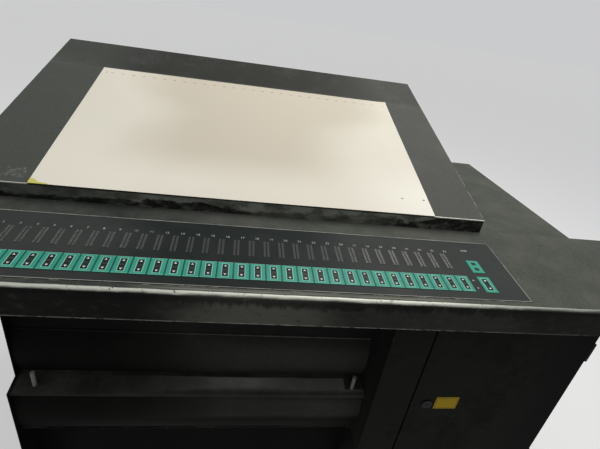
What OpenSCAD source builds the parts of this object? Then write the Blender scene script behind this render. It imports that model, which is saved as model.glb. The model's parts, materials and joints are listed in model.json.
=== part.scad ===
// Control console of a sheet-fed offset printing press.
// X runs along the desk, Y from the operator to the back, Z up from the floor.

/* [Desk] */
// Desk beyond the sheet table on the operator's left
end_w = 34; // [20:1:80]
// Desk beyond the sheet table on the operator's right
side_w = 457; // [400:1:520]
// Height of the front lip's top edge over the floor
desk_h = 900; // [880:1:1000]
// Height of the front lip
lip_h = 68; // [55:1:90]
// Rounding of the lip's top edge
lip_r = 14; // [8:1:18]
// Rounding of the two front corners, seen from above
corner_r = 22; // [14:1:40]
// Length of the deck up its slope, from the lip to its rear edge
deck_l = 291; // [280:1:320]
// Slope of the deck, in degrees
deck_slope = 5.4; // [3:0.1:8]
// Wall of the console bar
desk_wall = 4; // [3:0.5:6]

/* [Ink key panel] */
// Width of one ink zone, and so the pitch of the keys
zone_pitch = 32.5; // [28:0.5:34]
// Ink zones across the sheet
zones = 32; // [24:1:32]
// Panel depth up the deck
panel_l = 210; // [200:1:215]
// Gap between the lip's edge and the panel
panel_front = 21.2; // [20:0.1:30]
// Panel beyond the first key's middle
panel_left = 118.5; // [100:0.5:125]
// Panel beyond the last key's middle
panel_right = 135; // [110:1:140]
// Distance of the sweep keys from the last ink key
sweep_reach = 54; // [48:0.5:70]
// Thickness of the panel plate
panel_t = 2; // [1.5:0.1:3]
// Depth of the pocket that the panel lies in
pocket_d = 1.2; // [0.8:0.1:1.4]
// Gap round the panel in its pocket
pocket_gap = 1.2; // [0.5:0.1:2]
// Seam between two key cells
cell_seam = 3; // [1.5:0.1:4]
// Length of one key cell
cell_l = 49.4; // [43:0.1:52]
// Distance from the panel's front edge to the cells
cell_front = 23.9; // [18:0.1:30]
// Width of the dark window in a cell
window_w = 13; // [10:0.5:14]
// Length of the dark window in a cell
window_l = 38; // [35:0.5:40]
// Length of a bar display
bar_l = 56; // [45:1:60]
// Width of a bar display over its two rows of lamps
bar_w = 12; // [11:0.1:14]
// Distance of a bar display's middle to the left of its key's middle
bar_shift = 13; // [9:0.5:16]
// Distance from the panel's front edge to the bar displays
bar_front = 98.8; // [90:0.1:105]

/* [Sheet table] */
// Sheet table beyond the key panel on each side
table_margin = 7; // [2:1:20]
// Length of the sheet table up its slope
table_l = 807; // [700:1:850]
// Slope of the sheet table, in degrees
table_slope = 15.7; // [10:0.1:20]
// Thickness of the steel face
face_t = 3; // [2:0.5:5]
// Height of the rails under the face
rail_h = 34; // [28:1:45]
// Width of the front and back rails
rail_w = 40; // [30:1:50]
// Width of the side rails
side_rail_w = 25; // [20:1:40]
// Height of the table's front edge over the deck
table_step = 37; // [35:1:55]

/* [Press sheet] */
// Width of the printed sheet
sheet_w = 969.5; // [880:0.5:1030]
// Length of the printed sheet
sheet_l = 612; // [500:1:720]
// Thickness of the sheet, with a few sheets under it
sheet_t = 0.8; // [0.3:0.1:2]

/* [Base] */
// Sheet table beyond the base on the left
base_inset = 89; // [75:1:110]
// Desk beyond the base on the right
side_overhang = 123; // [100:1:150]
// Sheet table beyond the base at the back
back_overhang = 75; // [50:1:110]
// Thickness of the sheet steel
steel = 3; // [2:0.5:4]
// Setback of the cabinet's face from the lip
cabinet_y = 110; // [90:1:140]
// Sheet table beyond the cabinet's left wall
cabinet_inset = 242; // [225:1:262]
// Thickness of the door and the frame round it
door_t = 18; // [15:1:25]
// Gap round the door
door_gap = 5; // [5:0.5:8]
// Height of the fixed rail over the door
head_h = 30; // [20:1:45]
// Height of the fixed rail under the door
sill_rail_h = 15; // [10:1:30]
// Distance of the lock from the door's free edge
lock_inset = 45; // [30:1:60]
// Drop of the lock under the lip's top edge
lock_drop = 433; // [400:1:460]
// Width of the fixed stile left of the door
stile_w = 107; // [80:1:120]
// Top of the foot recess over the floor
recess_top = 269; // [240:1:290]
// Setback of the kick panel from the lip
kick_y = 240; // [200:1:300]
// Front of the storage bay's lower half
bay_low_y = 165; // [160:1:175]
// Setback of the bay's upper half
bay_high_y = 232; // [225:1:240]
// Height of the ledge's nose over the floor
ledge_z = 422; // [405:1:440]
// Top of the upper bowed panel
bow_top = 585; // [570:1:640]
// How far the upper panel bows out
bow_high = 20; // [10:1:22]
// How far the lower panel bows out
bow_low = 16; // [8:1:16]
// Height of a ledge peg
peg_h = 45; // [30:1:60]
// Diameter of a ledge peg
peg_d = 11; // [8:0.5:14]
// Setback of the pegs from the ledge's nose
peg_setback = 25; // [18:1:32]

/* [Feet] */
// Height of the sills under the base
sill_h = 40; // [30:1:50]
// Width of the sills
sill_w = 50; // [40:1:60]
// Wall of the sills' square tube
sill_wall = 3; // [2:0.5:4]
// Clearance between the floor and the sills
foot_h = 20; // [16:1:40]
// Diameter of a foot pad
foot_d = 50; // [40:1:60]

/* [Hidden] */
$fn = 64;

// Colours, as red, green and blue from 0 to 1
desk_grey = [0.20, 0.22, 0.21];
base_grey = [0.15, 0.16, 0.16];
panel_black = [0.14, 0.14, 0.16];
mint = [0.33, 0.68, 0.56];
deep_green = [0.05, 0.36, 0.28];
window_black = [0.07, 0.06, 0.06];
table_grey = [0.30, 0.32, 0.32];
paper_white = [0.90, 0.88, 0.83];
bare_steel = [0.62, 0.62, 0.60];
peg_white = [0.85, 0.86, 0.82];

// The key row carries the widths: keys, then panel, sheet table, desk and base
panel_w = panel_left + (zones - 1) * zone_pitch + panel_right;
table_w = panel_w + 2 * table_margin;
desk_w = end_w + table_w + side_w;
table_left = -desk_w / 2 + end_w;
table_right = table_left + table_w;
panel_x0 = table_left + table_margin;
panel_x1 = panel_x0 + panel_w;
first_key = panel_x0 + panel_left;
last_key = first_key + (zones - 1) * zone_pitch;
base_x0 = table_left + base_inset;
base_x1 = desk_w / 2 - side_overhang;
cabinet_x = table_right - cabinet_inset;

// The deck's own frame starts at the lip's top edge and runs up the slope
deck_rear_y = deck_l * cos(deck_slope);
deck_rear_z = desk_h + deck_l * sin(deck_slope);
lip_bottom = desk_h - lip_h;

// How far a cutter reaches past what it cuts
over = 1;

// The sheet table starts a little ahead of the deck's rear edge
table_seat = 6.1;
table_y = deck_rear_y - table_seat;
table_z = desk_h + table_y * tan(deck_slope) + table_step;
table_back = table_y + table_l * cos(table_slope);
depth = table_back + face_t * sin(table_slope);

// Height of the face's underside and of the rails' underside at a given Y
seat = 0.05;
function under_face(y) = table_z - face_t / cos(table_slope) - seat + (y - table_y) * tan(table_slope);
function under_rail(y) = under_face(y) - rail_h / cos(table_slope);

// The base
base_bottom = foot_h + sill_h;
base_top = lip_bottom;
base_back = table_back - back_overhang;
shelf_z = desk_h;
bar_gap = 0.2;
behind_bar = deck_rear_y + bar_gap;
bay_left = base_x0 + steel;
bay_right = cabinet_x;

// The left side stands a little ahead of the bay's panels and steps back over the ledge
side_lead_low = 5;
side_lead_high = 4;
side_low_y = bay_low_y - side_lead_low;
side_high_y = bay_high_y - bow_high - side_lead_high;
side_step_front = ledge_z + 8;
side_step_back = ledge_z + 20;
pan_t = 3;
pan_gap = 0.3;
shelf_drop = 8;

// The door
swing_room = 0.5;
door_left = cabinet_x + stile_w + door_gap + swing_room;
door_right = base_x1 - door_gap;
door_skin = 2;
door_fold = 30;
door_bottom = base_bottom + sill_rail_h + door_gap;
door_top = base_top - head_h - door_gap;
hinge_out = 6;
hinge_x = base_x1 + hinge_out;
hinge_y = cabinet_y + door_t / 2;
hinge_r = 5.5;
pin_r = 3;
pin_clear = 0.05;
knuckle_h = 30;
knuckle_gap = 0.5;
leaf_l = 45;
leaf_t = 2.5;
arm_t = 4;
hinge_inset = 100;
hinge_heights = [door_bottom + hinge_inset, door_top - hinge_inset - 2 * knuckle_h];
lock_x = door_left + lock_inset;
lock_z = desk_h - lock_drop;

// The key panel
panel_top = panel_t - pocket_d;
strip_t = 0.4;
cell_w = zone_pitch - cell_seam;
cell_t = 0.8;
cell_base = panel_top + strip_t;
cell_mid = panel_front + cell_front + cell_l / 2;
sweep_x = last_key + sweep_reach;
sweep_mark_l = 44;
sweep_mark_front = 88.5;

module in_place() translate([0, -depth / 2, 0]) children();

module on_deck() in_place() translate([0, 0, desk_h]) rotate([deck_slope, 0, 0]) children();

module on_table() in_place() translate([0, table_y, table_z]) rotate([table_slope, 0, 0]) children();

// A profile drawn in Y and Z, drawn out along X from x0 to x1
module along_x(x0, x1)
    in_place() translate([x0, 0, 0]) rotate([90, 0, 90]) linear_extrude(height = x1 - x0) children();

// A box between two corners
module block(low, high) in_place() translate(low) cube(high - low);

// The bar seen from its end: upright lip, rounded edge and sloping deck, set in by a wall
module bar_profile(wall, floor_z) {
    r = lip_r - wall;
    nose_y = lip_r;
    nose_z = desk_h + lip_r * tan(deck_slope) - lip_r / cos(deck_slope);
    rear = deck_rear_y - wall;
    rear_z = desk_h + rear * tan(deck_slope) - wall / cos(deck_slope);
    difference() {
        polygon([
            [wall, floor_z],
            [wall, desk_h + wall * tan(deck_slope) - wall / cos(deck_slope)],
            [rear, rear_z], [rear, floor_z]
        ]);
        translate([nose_y, nose_z]) difference() {
            polygon([
                [0, 0], [-lip_r, 0], [-lip_r, 2 * lip_r],
                [-2 * lip_r * sin(deck_slope), 2 * lip_r * cos(deck_slope)]
            ]);
            circle(r = r);
        }
    }
}

// The bar seen from above, with its two front corners rounded
module bar_plan(wall) {
    r = corner_r - wall;
    x0 = -desk_w / 2 + wall;
    x1 = desk_w / 2 - wall;
    difference() {
        translate([x0, wall]) square([x1 - x0, deck_rear_y - 2 * wall]);
        for (side = [-1, 1]) translate([side * (x1 - r), wall + r]) difference() {
            translate([side > 0 ? 0 : -r - over, -r - over]) square([r + over, r + over]);
            circle(r = r);
        }
    }
}

module bar_solid(wall, floor_z) intersection() {
    along_x(-desk_w / 2 + wall, desk_w / 2 - wall) bar_profile(wall, floor_z);
    in_place() translate([0, 0, floor_z]) linear_extrude(height = desk_h) bar_plan(wall);
}

module desk_shell() color(desk_grey) difference() {
    bar_solid(0, lip_bottom);
    bar_solid(desk_wall, lip_bottom - over);
    on_deck() translate([panel_x0 - pocket_gap, panel_front - pocket_gap, -pocket_d])
        cube([panel_x1 - panel_x0 + 2 * pocket_gap, panel_l + 2 * pocket_gap, pocket_d + over]);
}

module desk_pan() color(base_grey)
    in_place() translate([0, 0, lip_bottom]) linear_extrude(height = pan_t) bar_plan(desk_wall + pan_gap);

module ink_panel() color(panel_black)
    on_deck() translate([panel_x0, panel_front, -pocket_d])
        cube([panel_x1 - panel_x0, panel_l, panel_t]);

// The dark strip under the cells shows in their seams and as a narrow rim
strip_rim = 1;
module key_strip() color(deep_green)
    on_deck() translate([first_key - zone_pitch / 2, cell_mid - cell_l / 2 - strip_rim, panel_top])
        cube([zones * zone_pitch, cell_l + 2 * strip_rim, strip_t]);

// Repeats its children once for each ink zone
module each_zone() for (i = [0:zones - 1]) translate([first_key + i * zone_pitch, 0, 0]) children();

// A green cell with the hole for its window
module cell(width, length) translate([-width / 2, -length / 2, 0]) difference() {
    cube([width, length, cell_t]);
    translate([(width - window_w) / 2, (length - window_l) / 2, -over])
        cube([window_w, window_l, cell_t + 2 * over]);
}

// The dark insert in a cell's window
window_fit = 0.3;
window_t = 0.6;
module window_insert() translate([-window_w / 2 + window_fit, -window_l / 2 + window_fit, 0])
    cube([window_w - 2 * window_fit, window_l - 2 * window_fit, window_t]);

// The two press points in a window, one above and one below
button_w = 9.5;
button_l = 9.4;
button_t = 0.5;
button_pitch = 24.6;
module press_points() for (side = [-1, 1])
    translate([-button_w / 2, side * button_pitch / 2 - button_l / 2, window_t])
        cube([button_w, button_l, button_t]);

module key_cells() color(mint)
    on_deck() translate([0, cell_mid, cell_base]) each_zone() cell(cell_w, cell_l);

module key_windows() color(window_black)
    on_deck() translate([0, cell_mid, cell_base]) each_zone() window_insert();

module key_buttons() color(window_black)
    on_deck() translate([0, cell_mid, cell_base]) {
        each_zone() press_points();
        translate([sweep_x, 0, -strip_t]) press_points();
    }

// Two upright rows of lamps for each zone, behind and to the left of its key
lamp_row_w = 4.2;
lamp_row_t = 0.5;
module bar_displays() color(bare_steel)
    on_deck() translate([-bar_shift, panel_front + bar_front, panel_top]) each_zone()
        for (side = [-1, 1]) translate([side * (bar_w - lamp_row_w) / 2 - lamp_row_w / 2, 0, 0])
            cube([lamp_row_w, bar_l, lamp_row_t]);

sweep_extra_l = 1.5;
module sweep_keys() color(mint) on_deck() {
    translate([sweep_x, cell_mid, panel_top]) cell(cell_w, cell_l + sweep_extra_l);
    translate([sweep_x - cell_w / 2, panel_front + sweep_mark_front, panel_top])
        cube([cell_w, sweep_mark_l, cell_t]);
}

// Two dark squares on the rear sweep key, at these distances up it
sweep_dots = [13, 32];
sweep_dot_w = 10;
sweep_dot_l = 9;
sweep_dot_t = 0.4;
module sweep_windows() color(window_black) on_deck() {
    translate([sweep_x, cell_mid, panel_top]) window_insert();
    for (up = sweep_dots)
        translate([sweep_x, panel_front + sweep_mark_front + up, panel_top + cell_t])
            translate([-sweep_dot_w / 2, -sweep_dot_l / 2, 0]) cube([sweep_dot_w, sweep_dot_l, sweep_dot_t]);
}

module table_face() color(table_grey)
    on_table() translate([table_left, 0, -face_t]) cube([table_w, table_l, face_t]);

// Bright edging along the face's front
edging = 1.6;
module table_front_edge() color(bare_steel)
    on_table() translate([table_left, -edging, -face_t]) cube([table_w, edging, face_t]);

module front_rail() color(base_grey)
    along_x(table_left, table_right) polygon([
        [table_y, desk_h + table_y * tan(deck_slope)],
        [deck_rear_y, deck_rear_z],
        [table_y + rail_w, deck_rear_z],
        [table_y + rail_w, under_face(table_y + rail_w)],
        [table_y, under_face(table_y)]
    ]);

// A band under the face between two places along Y, from the face or from a way down to lower
module rail_profile(y0, y1, from = 0, to = rail_h) {
    upper = from / cos(table_slope);
    lower = to / cos(table_slope);
    polygon([
        [y0, under_face(y0) - lower], [y1, under_face(y1) - lower],
        [y1, under_face(y1) - upper], [y0, under_face(y0) - upper]
    ]);
}

// The back rail is a folded channel that is open to the front
module back_rail() color(base_grey)
    along_x(table_left + steel, table_right - steel) {
        rail_profile(table_back - steel, table_back);
        rail_profile(table_back - rail_w, table_back - steel, rail_h - steel);
    }

// A side rail is an upright wall and a foot turned inwards, which ends at the back rail
module side_rail(wall_x, foot_x) {
    along_x(wall_x, wall_x + steel) rail_profile(table_y + rail_w, table_back);
    along_x(foot_x, foot_x + side_rail_w - steel)
        rail_profile(table_y + rail_w, table_back - rail_w, rail_h - steel);
}

module left_rail() color(base_grey) side_rail(table_left, table_left + steel);

module right_rail() color(base_grey) side_rail(table_right - steel, table_right - side_rail_w);

module right_cheek() color(base_grey)
    along_x(table_right - steel, table_right) polygon([
        [behind_bar, base_top + shelf_drop],
        [base_back - steel, base_top + shelf_drop],
        [base_back - steel, under_rail(base_back - steel)],
        [table_y + rail_w, under_rail(table_y + rail_w)],
        [table_y + rail_w, deck_rear_z],
        [behind_bar, deck_rear_z]
    ]);

module upper_back() color(base_grey)
    along_x(bay_left, table_right - side_rail_w) polygon([
        [base_back - steel, shelf_z], [base_back, shelf_z],
        [base_back, under_face(base_back)], [base_back - steel, under_face(base_back - steel)]
    ]);

module side_shelf() color(desk_grey)
    block([table_right, behind_bar, shelf_z - steel], [base_x1, base_back, shelf_z]);

module left_side() color(base_grey)
    along_x(base_x0, bay_left) polygon([
        [side_low_y, base_bottom], [base_back, base_bottom],
        [base_back, under_face(base_back)],
        [table_y + rail_w, under_face(table_y + rail_w)],
        [table_y + rail_w, deck_rear_z], [behind_bar, deck_rear_z],
        [behind_bar, base_top], [side_high_y, base_top],
        [side_high_y, side_step_back], [side_low_y, side_step_front]
    ]);

module right_side() color(base_grey)
    along_x(base_x1 - steel, base_x1) polygon([
        [cabinet_y + door_t + door_gap, base_bottom], [base_back, base_bottom],
        [base_back, shelf_z - steel], [behind_bar, shelf_z - steel],
        [behind_bar, base_top], [cabinet_y + door_t + door_gap, base_top]
    ]);

module partition() color(base_grey)
    block([cabinet_x, cabinet_y + door_t, base_bottom + steel],
          [cabinet_x + steel, base_back - steel, base_top]);

// Air slots in the back under pressed hoods, in two columns
louvre_rows = 6;
louvre_l = 150;
louvre_r = 9;
louvre_wall = 2;
louvre_pitch = 34;
louvre_inset = 110;
louvre_z = 420;
louvre_gap = 70;
module each_louvre()
    for (column = [0, 1], row = [0:louvre_rows - 1])
        in_place()
            translate([
                cabinet_x + louvre_inset + column * (louvre_l + louvre_gap),
                base_back,
                base_bottom + louvre_z + row * louvre_pitch
            ])
                children();

module back_panel() color(base_grey) difference() {
    block([bay_left, base_back - steel, base_bottom - sill_h / 2],
          [base_x1 - steel, base_back, shelf_z - steel]);
    each_louvre() translate([louvre_wall, -steel - over, 0])
        cube([louvre_l - 2 * louvre_wall, steel + 2 * over, louvre_r - louvre_wall]);
}

// Each hood is a quarter-round shell, closed at its ends and open below
module vent_louvres() color(base_grey)
    each_louvre() rotate([0, 90, 0]) intersection() {
        difference() {
            cylinder(r = louvre_r, h = louvre_l);
            translate([0, 0, louvre_wall])
                cylinder(r = louvre_r - louvre_wall, h = louvre_l - 2 * louvre_wall);
        }
        translate([-louvre_r, 0, 0]) cube([louvre_r, louvre_r, louvre_l]);
    }

module bay_fascia() color(base_grey)
    block([bay_left, bay_high_y, bow_top], [bay_right, bay_high_y + steel, base_top]);

// A bowed sheet between two heights, whose ends lie on the plane Y = seat
bow_facets = 180;
module bow_profile(seat, z0, z1, rise) {
    half = (z1 - z0) / 2;
    r = (half * half + rise * rise) / (2 * rise);
    intersection() {
        translate([seat - rise + r, z0 + half]) difference() {
            circle(r = r, $fn = bow_facets);
            circle(r = r - steel, $fn = bow_facets);
        }
        translate([seat - rise - over, z0]) square([rise + over, z1 - z0]);
    }
}

nose_r = 6;
ledge_slope = 11;
ledge_top_at_bay = ledge_z + nose_r / cos(ledge_slope) + (bay_high_y - bay_low_y - nose_r) * tan(ledge_slope);
bow_reveal = 2;
bow_gap = 0.2;
lower_bow_y = bay_low_y + bow_low + bow_reveal;

module upper_bow() color(base_grey)
    along_x(bay_left, bay_right) bow_profile(bay_high_y, ledge_top_at_bay, bow_top, bow_high);

// The ledge rises a little to the back and ends in a rounded nose
module ledge_profile() intersection() {
    translate([bay_low_y + nose_r, ledge_z]) rotate(ledge_slope) {
        circle(r = nose_r);
        translate([0, -nose_r]) square([bay_high_y, 2 * nose_r]);
    }
    translate([bay_low_y - over, 0]) square([bay_high_y - bay_low_y + over, desk_h]);
}

module ledge() color(base_grey) along_x(bay_left, bay_right) ledge_profile();

peg_y = bay_low_y + peg_setback;
peg_inset_left = 51;
peg_inset_right = 34;
peg_base = ledge_z + nose_r / cos(ledge_slope) + (peg_y - bay_low_y - nose_r) * tan(ledge_slope);
module ledge_pegs() color(peg_white) for (x = [bay_left + peg_inset_left, bay_right - peg_inset_right])
    difference() {
        in_place() translate([x, peg_y, ledge_z]) cylinder(d = peg_d, h = peg_base - ledge_z + peg_h);
        along_x(x - peg_d, x + peg_d) ledge_profile();
    }

module lower_bow() color(base_grey)
    along_x(bay_left, bay_right)
        bow_profile(lower_bow_y, recess_top + steel, ledge_z - nose_r - bow_gap, bow_low);

module recess_soffit() color(base_grey)
    block([bay_left, lower_bow_y - steel, recess_top], [bay_right, kick_y, recess_top + steel]);

module kick_panel() color(base_grey)
    block([bay_left, kick_y, base_bottom + steel], [bay_right, kick_y + steel, recess_top + steel]);

module bay_floor() color(base_grey)
    block([bay_left, kick_y, base_bottom], [bay_right, base_back - steel, base_bottom + steel]);

module cabinet_floor() color(base_grey)
    block([cabinet_x, cabinet_y + door_t, base_bottom],
          [base_x1 - steel, base_back - steel, base_bottom + steel]);

module cabinet_top() color(base_grey)
    block([cabinet_x, behind_bar, base_top + shelf_drop - steel],
          [base_x1 - steel, base_back - steel, base_top + shelf_drop]);

module stile() color(base_grey)
    block([cabinet_x, cabinet_y, base_bottom],
          [cabinet_x + stile_w, cabinet_y + door_t, base_top]);

module head_rail() color(base_grey)
    block([cabinet_x + stile_w, cabinet_y, door_top + door_gap],
          [base_x1, cabinet_y + door_t, base_top]);

module sill_rail() color(base_grey)
    block([cabinet_x + stile_w, cabinet_y, base_bottom],
          [base_x1, cabinet_y + door_t, door_bottom - door_gap]);

// The door is a folded pan: a skin with edges turned back and in, open behind
module cabinet_door() color(base_grey) difference() {
    block([door_left, cabinet_y, door_bottom], [door_right, cabinet_y + door_t, door_top]);
    block([door_left + door_skin, cabinet_y + door_skin, door_bottom + door_skin],
          [door_right - door_skin, cabinet_y + door_t - door_skin, door_top - door_skin]);
    block([door_left + door_fold, cabinet_y + door_skin, door_bottom + door_fold],
          [door_right - door_fold, cabinet_y + door_t + over, door_top - door_fold]);
    in_place() translate([lock_x, cabinet_y - over, lock_z]) rotate([-90, 0, 0])
        cylinder(r = lock_barrel_r, h = door_t + 2 * over);
}

// Quarter-turn lock: a rose on the face, a barrel through the door and a cam behind it
lock_barrel_r = 10;
lock_rose_r = 15;
lock_rose_t = 4;
lock_reach = 8;
key_slot_w = 12;
key_slot_h = 2.4;
key_slot_d = 2;
cam_w = 16;
cam_t = 3;
cam_l = 55;
cam_below = 10;
module door_lock() color(bare_steel) in_place() translate([lock_x, cabinet_y, lock_z]) {
    difference() {
        translate([0, -lock_rose_t, 0]) rotate([-90, 0, 0]) cylinder(r = lock_rose_r, h = lock_rose_t);
        translate([-key_slot_w / 2, -lock_rose_t - over, -key_slot_h / 2])
            cube([key_slot_w, key_slot_d + over, key_slot_h]);
    }
    rotate([-90, 0, 0]) cylinder(r = lock_barrel_r, h = door_t + lock_reach);
    translate([-cam_w / 2, door_t + lock_reach, -cam_below]) cube([cam_w, cam_t, cam_l]);
}

// The fixed half of each hinge: a leaf on the side panel, the lower knuckle and the pin
module hinge_leaves() color(bare_steel) for (z = hinge_heights) {
    block([base_x1, hinge_y + arm_t / 2, z], [base_x1 + leaf_t, hinge_y + leaf_l, z + knuckle_h]);
    in_place() translate([hinge_x, hinge_y, z]) {
        cylinder(r = hinge_r, h = knuckle_h);
        cylinder(r = pin_r, h = 2 * knuckle_h);
    }
}

// The moving half: a sleeve on the pin and a leaf to the door's edge
module hinge_sleeves() color(bare_steel) for (z = hinge_heights)
    in_place() translate([0, 0, z + knuckle_h + knuckle_gap]) difference() {
        union() {
            translate([hinge_x, hinge_y, 0]) cylinder(r = hinge_r, h = knuckle_h);
            translate([door_right, hinge_y - arm_t / 2, 0])
                cube([hinge_x - door_right, arm_t, knuckle_h]);
        }
        translate([hinge_x, hinge_y, -over]) cylinder(r = pin_r + pin_clear, h = knuckle_h + 2 * over);
    }

// A square tube under the base from its front to its back
module sill(x, front) color(base_grey) difference() {
    block([x, front, foot_h], [x + sill_w, base_back - steel, base_bottom]);
    block([x + sill_wall, front - over, foot_h + sill_wall],
          [x + sill_w - sill_wall, base_back - steel + over, base_bottom - sill_wall]);
}

sill_places = [base_x0 + steel, cabinet_x, base_x1 - steel - sill_w];
sill_setback = 10;
module left_sill() sill(sill_places[0], side_low_y + sill_setback);
module middle_sill() sill(sill_places[1], cabinet_y + door_t);
module right_sill() sill(sill_places[2], cabinet_y + door_t);

// Levelling feet, two under each sill
foot_pad_t = 8;
foot_stem_d = 16;
foot_inset = 70;
module feet() color(bare_steel)
    for (x = sill_places, y = [cabinet_y + door_t + 2 * foot_inset, base_back - foot_inset])
        in_place() translate([x + sill_w / 2, y, 0]) {
            cylinder(d = foot_d, h = foot_pad_t);
            cylinder(d = foot_stem_d, h = foot_h);
        }

// The sheet under inspection, square to the keys and near the table's front edge
sheet_past_key = 1.75;
sheet_x0 = last_key + sheet_past_key - sheet_w;
sheet_front = -1;
module press_sheet() color(paper_white)
    on_table() translate([sheet_x0, sheet_front, 0]) cube([sheet_w, sheet_l, sheet_t]);

desk_shell();
desk_pan();
ink_panel();
key_strip();
key_cells();
key_windows();
key_buttons();
bar_displays();
sweep_keys();
sweep_windows();
table_face();
table_front_edge();
front_rail();
back_rail();
left_rail();
right_rail();
right_cheek();
upper_back();
side_shelf();
left_side();
right_side();
partition();
back_panel();
vent_louvres();
bay_fascia();
upper_bow();
ledge();
ledge_pegs();
lower_bow();
recess_soffit();
kick_panel();
bay_floor();
cabinet_floor();
cabinet_top();
stile();
head_rail();
sill_rail();
cabinet_door();
door_lock();
hinge_leaves();
hinge_sleeves();
left_sill();
middle_sill();
right_sill();
feet();
press_sheet();
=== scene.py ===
"""The looks of a press control console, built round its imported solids.

Everything is in metres in the console's own frame: X runs along the desk,
Y from the operator to the back, Z up from the floor.
"""

import json
import math

import bmesh
import bpy
from mathutils import Matrix, Vector


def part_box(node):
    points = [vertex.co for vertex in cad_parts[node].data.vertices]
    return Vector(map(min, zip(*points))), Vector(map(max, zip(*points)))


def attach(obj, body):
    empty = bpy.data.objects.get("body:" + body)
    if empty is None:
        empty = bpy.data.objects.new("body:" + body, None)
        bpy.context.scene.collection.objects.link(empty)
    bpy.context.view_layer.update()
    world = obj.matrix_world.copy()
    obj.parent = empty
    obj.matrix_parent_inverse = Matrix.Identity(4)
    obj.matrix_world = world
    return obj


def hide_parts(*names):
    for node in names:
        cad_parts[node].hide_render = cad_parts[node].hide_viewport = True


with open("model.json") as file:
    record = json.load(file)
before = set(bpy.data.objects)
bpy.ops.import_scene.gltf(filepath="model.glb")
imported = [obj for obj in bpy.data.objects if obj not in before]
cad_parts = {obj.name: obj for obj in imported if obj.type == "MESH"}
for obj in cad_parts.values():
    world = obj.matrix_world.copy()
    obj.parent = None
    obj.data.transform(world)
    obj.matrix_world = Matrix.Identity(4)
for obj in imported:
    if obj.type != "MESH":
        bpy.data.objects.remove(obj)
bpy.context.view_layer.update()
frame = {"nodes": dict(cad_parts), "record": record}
nodes = frame["nodes"]

# Places taken from the solids

LIP_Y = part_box("desk_shell")[0].y
LIP_TOP = 0.900
LIP_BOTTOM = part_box("desk_shell")[0].z
DECK_SLOPE = math.radians(5.4)
TABLE_SLOPE = math.radians(15.7)
FACE_THICKNESS = 0.003
PANEL_PROUD = 0.0008

TABLE_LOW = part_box("table_face")[0]
TABLE_FRONT_Z = TABLE_LOW.z + FACE_THICKNESS * math.cos(TABLE_SLOPE)
STEP_LOW, STEP_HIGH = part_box("front_rail")
STEP_MIDDLE = (STEP_LOW.z + STEP_HIGH.z) / 2

# Frames whose X and Y lie in the desk's top and in the table's face
DECK = Matrix.Translation((0, LIP_Y, LIP_TOP)) @ Matrix.Rotation(DECK_SLOPE, 4, "X")
TABLE = Matrix.Translation((0, TABLE_LOW.y, TABLE_FRONT_Z)) @ Matrix.Rotation(TABLE_SLOPE, 4, "X")

SHEET_LOW, SHEET_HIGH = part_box("press_sheet")
SHEET_WIDTH = SHEET_HIGH.x - SHEET_LOW.x
SHEET_LENGTH = 0.612
SHEET_FRONT = -0.001

ZONES = 32
ZONE_PITCH = 0.0325
KEYS_LOW, KEYS_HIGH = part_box("key_cells")
FIRST_KEY = KEYS_LOW.x + (KEYS_HIGH.x - KEYS_LOW.x - (ZONES - 1) * ZONE_PITCH) / 2
LAST_KEY = FIRST_KEY + (ZONES - 1) * ZONE_PITCH
KEY_MIDDLE = 0.0698
CELL_LENGTH = 0.0494
CELL_TOP = PANEL_PROUD + 0.0012
BUTTON_PITCH = 0.0246
BUTTON_TOP = PANEL_PROUD + 0.0015
SWEEP_X = LAST_KEY + 0.054
BAR_FRONT, BAR_BACK = 0.120, 0.176
BAR_SHIFT, BAR_WIDTH, LAMP_ROW = 0.013, 0.012, 0.0042
LAMP_ROW_HEIGHT = 0.0005
PANEL_FRONT, PANEL_LENGTH = 0.0212, 0.210

BOW_LOW, BOW_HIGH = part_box("upper_bow")
LOWER_BOW_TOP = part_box("lower_bow")[1].z
LEDGE_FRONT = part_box("ledge")[0].y
PEGS_LOW, PEGS_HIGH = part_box("ledge_pegs")


def key_places():
    """The X of each ink key, from the operator's left."""
    return [FIRST_KEY + i * ZONE_PITCH for i in range(ZONES)]


def press_points():
    """The two press points of a key, near and far: the Y of each and the turn of its arrow."""
    reach = BUTTON_PITCH / 2
    return [(KEY_MIDDLE - reach, math.pi), (KEY_MIDDLE + reach, 0.0)]


def spread(first, last, count):
    """Evenly spaced places from the first to the last."""
    return [first + i * (last - first) / (count - 1) for i in range(count)]


def put_in_scene(name, data):
    made = bpy.data.objects.new(name, data)
    bpy.context.scene.collection.objects.link(made)
    return made


def set_camera():
    """A camera at the photograph's viewpoint."""
    focal_px, width_px, sensor = 408.9, 600, 36.0
    right = Vector((0.98469, -0.10498, 0.13919))
    down = Vector((0.07348, -0.47414, -0.87738))
    forward = Vector((0.15811, 0.87417, -0.45917))
    data = bpy.data.cameras.new("viewpoint")
    data.sensor_width = sensor
    data.lens = focal_px / width_px * sensor
    data.clip_start, data.clip_end = 0.02, 60
    camera = put_in_scene("viewpoint", data)
    turn = Matrix((right, -down, -forward)).transposed().to_4x4()
    camera.matrix_world = Matrix.Translation((-0.2247, LIP_Y - 0.6163, 1.3835)) @ turn
    bpy.context.scene.camera = camera


# Material helpers


def node(tree, kind, **settings):
    made = tree.nodes.new(kind)
    for name, value in settings.items():
        setattr(made, name, value)
    return made


def plug(tree, value, socket):
    """Puts a number, a colour or another socket into a socket."""
    if isinstance(value, bpy.types.NodeSocket):
        tree.links.new(value, socket)
    elif value is not None:
        if isinstance(value, (tuple, list)) and len(value) == 3 and socket.type == "RGBA":
            value = (*value, 1.0)
        socket.default_value = value


def sums(tree, operation, a, b=None):
    made = node(tree, "ShaderNodeMath", operation=operation)
    plug(tree, a, made.inputs[0])
    plug(tree, b, made.inputs[1])
    return made.outputs[0]


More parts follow.
